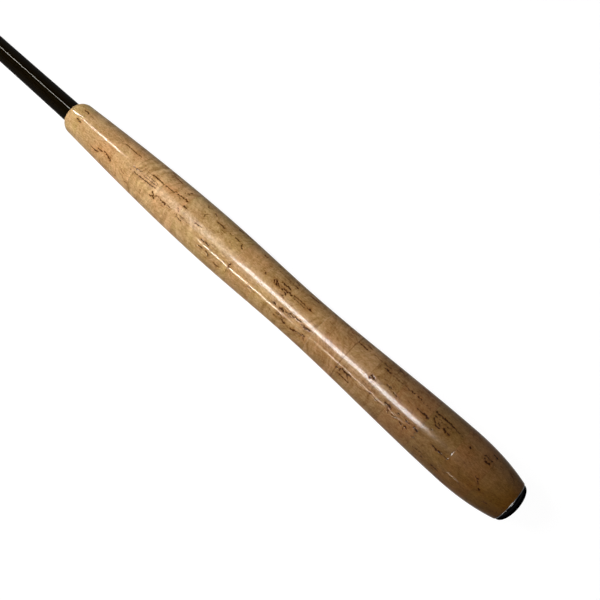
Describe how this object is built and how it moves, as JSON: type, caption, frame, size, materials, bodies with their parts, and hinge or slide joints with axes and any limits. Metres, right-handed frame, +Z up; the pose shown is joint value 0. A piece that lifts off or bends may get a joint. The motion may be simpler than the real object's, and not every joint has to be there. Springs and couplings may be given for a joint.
{
  "type": "tenkara rod",
  "caption": "Telescopic tenkara fishing rod, collapsed: double-swell cork grip, dark tapered blank with nested sliding sections, solid tip with braid, screw-in butt cap.",
  "frame": {"origin": "centre of the butt cap's end face", "axes": "+X along the rod from the butt to the tip, +Z up, the rod lying level and collapsed"},
  "size_m": [0.565, 0.0262, 0.0262],
  "materials": {
    "cork": "turned cork under a thin gloss seal",
    "blank": "dark olive-black gloss lacquer over carbon fibre",
    "band": "gloss lacquer over a wound band",
    "insert": "turned, bright",
    "cap": "polished black",
    "rubber": "smooth",
    "pad": "fine closed-cell foam",
    "tip": "satin lacquer over solid carbon fibre",
    "sleeve": "shrunk sleeve",
    "braid": "tight round braid"
  },
  "bodies": {
    "handle": {"handle_blank": "blank", "mouth_band": "band", "butt_ferrule": "insert", "cork_ring_01": "cork", "cork_ring_02": "cork", "cork_ring_03": "cork", "cork_ring_04": "cork", "cork_ring_05": "cork", "cork_ring_06": "cork", "cork_ring_07": "cork", "cork_ring_08": "cork", "cork_ring_09": "cork", "cork_ring_10": "cork", "cork_ring_11": "cork", "cork_ring_12": "cork", "cork_ring_13": "cork", "cork_ring_14": "cork", "cork_ring_15": "cork", "cork_ring_16": "cork", "cork_ring_17": "cork", "cork_ring_18": "cork"},
    "section_2": {"section_2": "blank"},
    "section_3": {"section_3": "blank"},
    "section_4": {"section_4": "blank"},
    "section_5": {"section_5": "blank"},
    "section_6": {"section_6": "blank"},
    "tip": {"tip_section": "tip", "tip_sleeve": "sleeve", "lillian": "braid"},
    "cap_ring": {"cap_o_ring": "rubber"},
    "butt_cap": {"butt_cap": "cap", "cap_pad": "pad"}
  },
  "joints": [
    {"name": "section_2_slide", "type": "slide", "parent": "handle", "child": "section_2", "axis": [1, 0, 0], "range_m": [0, 0.5075]},
    {"name": "section_3_slide", "type": "slide", "parent": "section_2", "child": "section_3", "axis": [1, 0, 0], "range_m": [0, 0.5055]},
    {"name": "section_4_slide", "type": "slide", "parent": "section_3", "child": "section_4", "axis": [1, 0, 0], "range_m": [0, 0.5055]},
    {"name": "section_5_slide", "type": "slide", "parent": "section_4", "child": "section_5", "axis": [1, 0, 0], "range_m": [0, 0.5055]},
    {"name": "section_6_slide", "type": "slide", "parent": "section_5", "child": "section_6", "axis": [1, 0, 0], "range_m": [0, 0.5055]},
    {"name": "tip_slide", "type": "slide", "parent": "section_6", "child": "tip", "axis": [1, 0, 0], "range_m": [0, 0.5055]},
    {"name": "cap_travel", "type": "slide", "parent": "handle", "child": "cap_ring", "axis": [-1, 0, 0], "range_m": [0, 0.012]},
    {"name": "cap_turn", "type": "hinge", "parent": "cap_ring", "child": "butt_cap", "pos_m": [0, 0, 0], "axis": [-1, 0, 0], "range_deg": [0, 2881]}
  ],
  "couplings": [
    {"joint": "cap_turn", "follows": "cap_travel", "rad_per_m": 4188.8}
  ]
}
